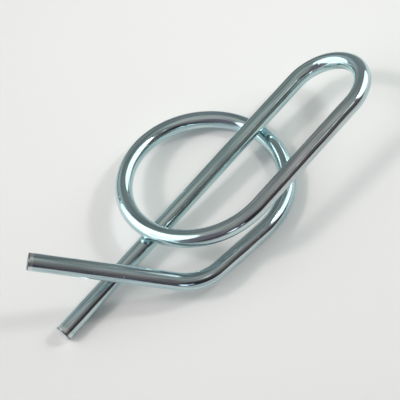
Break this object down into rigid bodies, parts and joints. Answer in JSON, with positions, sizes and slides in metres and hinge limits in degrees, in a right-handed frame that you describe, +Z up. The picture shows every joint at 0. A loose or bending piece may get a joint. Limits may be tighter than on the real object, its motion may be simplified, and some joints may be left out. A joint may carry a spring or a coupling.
{
  "type": "locking hitch clip",
  "caption": "Bent wire clip. The straight leg goes through a shaft's cross hole, the ring snaps over the end of the shaft, and the raised arm is the finger grip.",
  "frame": {"origin": "on the surface the clip lies on, under the middle of its overall length and width", "axes": "+X from the tip of the straight leg towards the bow, +Z up from the surface, +Y across, from the second leg to the far side of the ring"},
  "size_m": [0.0728, 0.0328, 0.0165],
  "materials": {
    "plated_wire": "drawn spring steel wire, bright zinc plated with a pale blue passivate, fine draw lines along the wire"
  },
  "bodies": {
    "root": {"clip_wire": "plated_wire"}
  },
  "joints": []
}
